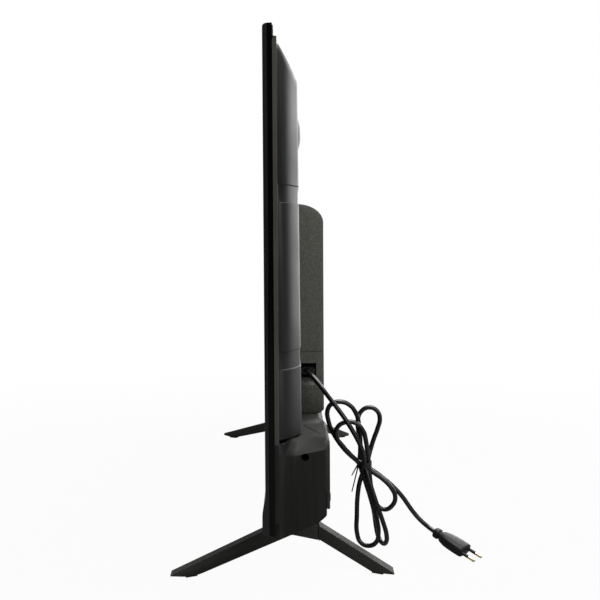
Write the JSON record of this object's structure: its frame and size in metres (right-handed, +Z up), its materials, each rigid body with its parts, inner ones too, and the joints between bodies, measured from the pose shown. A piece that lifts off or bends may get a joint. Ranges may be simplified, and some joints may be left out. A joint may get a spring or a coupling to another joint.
{
  "type": "flat screen tv",
  "caption": "Flat screen television on two V-shaped feet, with a sloped rear pan, an electronics box, a lower speaker cover, rear push keys and a tied mains lead.",
  "frame": {"origin": "on the floor, under the middle of the two feet", "axes": "+Z up, screen faces -Y, +X to the viewer's right along the screen's width"},
  "size_m": [0.962, 0.3789, 0.628],
  "materials": {
    "gloss_black": "high-gloss black moulded plastic",
    "smoked_window": "dark red infra-red plastic",
    "circuit_board": "green solder resist",
    "screen_glass": "dark LCD cell with an anti-glare front",
    "frame_grey": "grey-brown moulded plastic",
    "white_optical": "white optical sheet",
    "clear_lens": "clear moulded lens",
    "bare_aluminium": "bare aluminium",
    "tray_paint": "charcoal coated sheet steel",
    "zinc_steel": "zinc-plated steel",
    "black_screw": "black-coated steel",
    "brass_pin": "plated brass",
    "textured_plastic": "spark-textured dark grey plastic",
    "satin_plastic": "satin charcoal plastic",
    "speaker_black": "black moulded plastic",
    "component_yellow": "wound and moulded components",
    "flex_film": "amber flexible circuit",
    "foot_coat": "satin black plastic",
    "black_rubber": "black rubber",
    "key_black": "black moulded plastic",
    "lead_black": "black flexible vinyl"
  },
  "bodies": {
    "tv": {"front_bezel": "gloss_black", "ir_window": "smoked_window", "ir_board": "circuit_board", "lcd_panel": "screen_glass", "panel_frame": "frame_grey", "optical_films": "white_optical", "diffuser_plate": "white_optical", "diffuser_posts": "white_optical", "reflector_sheet": "white_optical", "led_bars": "bare_aluminium", "led_lenses": "clear_lens", "backlight_tray": "tray_paint", "rim_screws": "zinc_steel", "source_boards": "circuit_board", "panel_flex": "flex_film", "wall_mount_posts": "zinc_steel", "main_board": "circuit_board", "heat_sink": "bare_aluminium", "side_jacks": "zinc_steel", "jack_panel": "textured_plastic", "power_board": "circuit_board", "power_parts": "component_yellow", "timing_board": "circuit_board", "panel_cable": "white_optical", "board_posts": "brass_pin", "board_screws": "zinc_steel", "mains_inlet": "key_black", "inlet_pins": "brass_pin", "rear_cover": "textured_plastic", "rear_cover_screws": "black_screw", "lower_cover": "satin_plastic", "lower_cover_screws": "black_screw", "side_brackets": "zinc_steel", "speaker_box_left": "speaker_black", "speaker_box_right": "speaker_black", "speaker_driver_left": "speaker_black", "speaker_driver_right": "speaker_black", "foot_brackets": "zinc_steel", "foot_left": "foot_coat", "foot_right": "foot_coat", "foot_pads": "black_rubber", "foot_screws": "zinc_steel", "key_pod": "key_black", "key_board": "circuit_board", "appliance_connector": "lead_black", "cord_lead": "lead_black", "cord_hank": "lead_black", "cord_tail": "lead_black", "cable_tie": "key_black", "mains_plug": "lead_black", "plug_pins": "brass_pin"},
    "key_power": {"key_power": "key_black"},
    "key_source": {"key_source": "key_black"},
    "key_volume_down": {"key_volume_down": "key_black"},
    "key_volume_up": {"key_volume_up": "key_black"},
    "key_channel_down": {"key_channel_down": "key_black"},
    "key_channel_up": {"key_channel_up": "key_black"}
  },
  "joints": [
    {"name": "key_power_press", "type": "slide", "parent": "tv", "child": "key_power", "axis": [0, -1, 0], "range_m": [0, 0.0008], "stiffness_N_per_m": 600},
    {"name": "key_source_press", "type": "slide", "parent": "tv", "child": "key_source", "axis": [0, -1, 0], "range_m": [0, 0.0008], "stiffness_N_per_m": 600},
    {"name": "key_volume_down_press", "type": "slide", "parent": "tv", "child": "key_volume_down", "axis": [0, -1, 0], "range_m": [0, 0.0008], "stiffness_N_per_m": 600},
    {"name": "key_volume_up_press", "type": "slide", "parent": "tv", "child": "key_volume_up", "axis": [0, -1, 0], "range_m": [0, 0.0008], "stiffness_N_per_m": 600},
    {"name": "key_channel_down_press", "type": "slide", "parent": "tv", "child": "key_channel_down", "axis": [0, -1, 0], "range_m": [0, 0.0008], "stiffness_N_per_m": 600},
    {"name": "key_channel_up_press", "type": "slide", "parent": "tv", "child": "key_channel_up", "axis": [0, -1, 0], "range_m": [0, 0.0008], "stiffness_N_per_m": 600}
  ]
}
